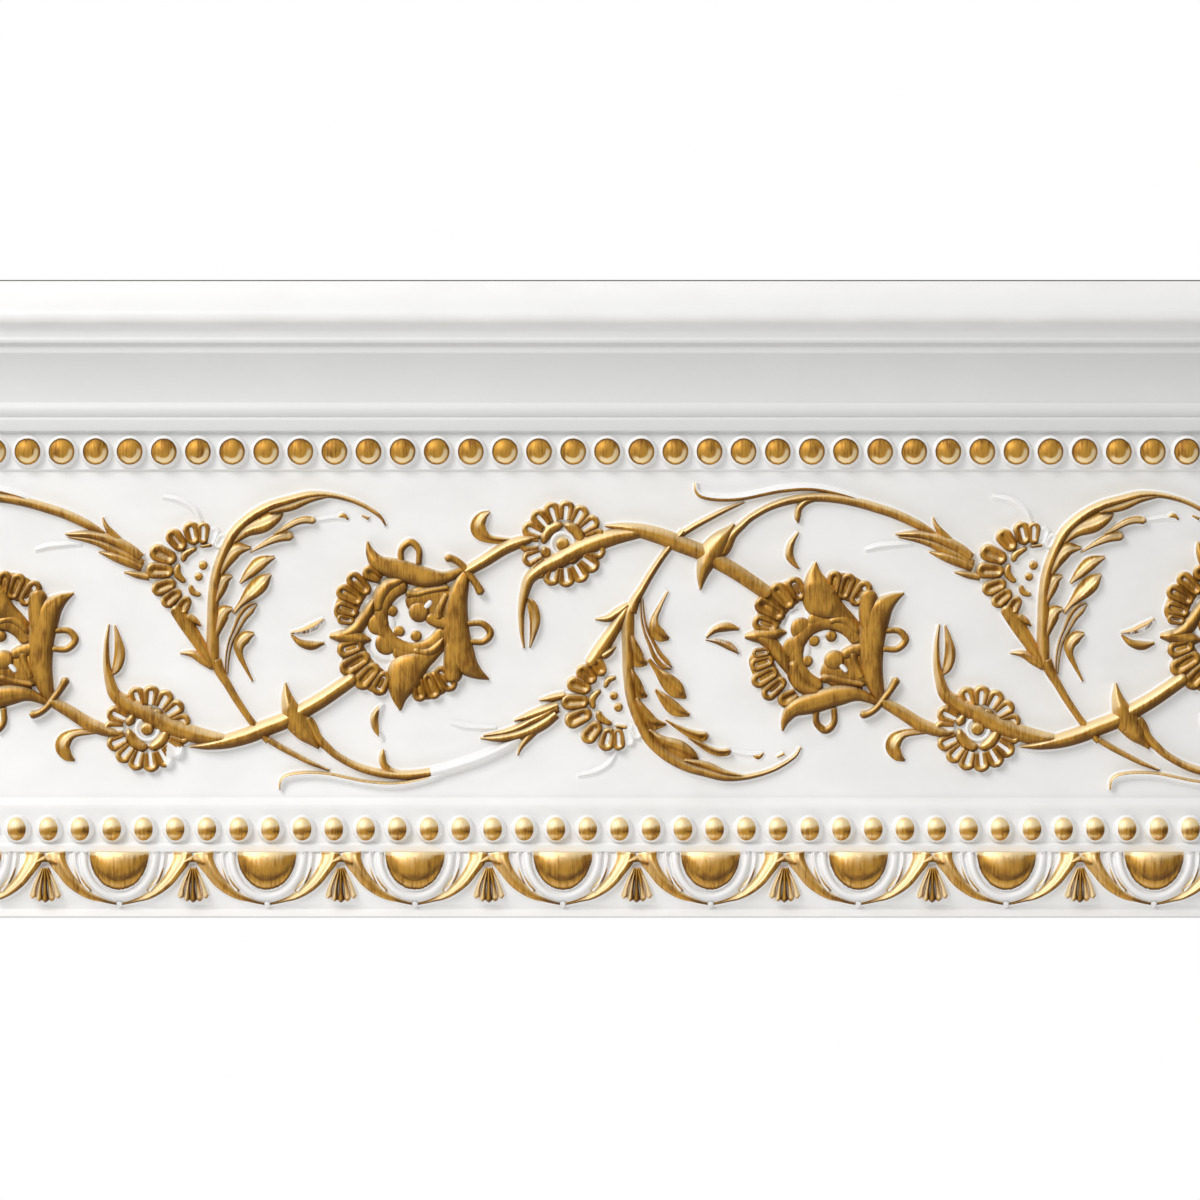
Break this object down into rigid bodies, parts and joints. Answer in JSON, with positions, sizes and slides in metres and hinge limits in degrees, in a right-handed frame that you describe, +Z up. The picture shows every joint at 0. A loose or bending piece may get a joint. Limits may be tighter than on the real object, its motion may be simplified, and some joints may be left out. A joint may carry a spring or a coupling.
{
  "type": "crown moulding",
  "caption": "Straight length of ornate crown moulding that closes the angle between wall and ceiling, white with gilded vine, bead rows and egg and dart.",
  "frame": {"origin": "middle of the upright face that lies against the wall", "axes": "+X along the moulding, +Y into the wall, +Z up to the ceiling"},
  "size_m": [0.4, 0.15, 0.15],
  "materials": {
    "white_paint": "satin white paint on cast polymer",
    "gold_paint": "brushed gold paint on the high parts of the relief"
  },
  "bodies": {
    "root": {"crown_moulding": "white_paint"}
  },
  "joints": []
}
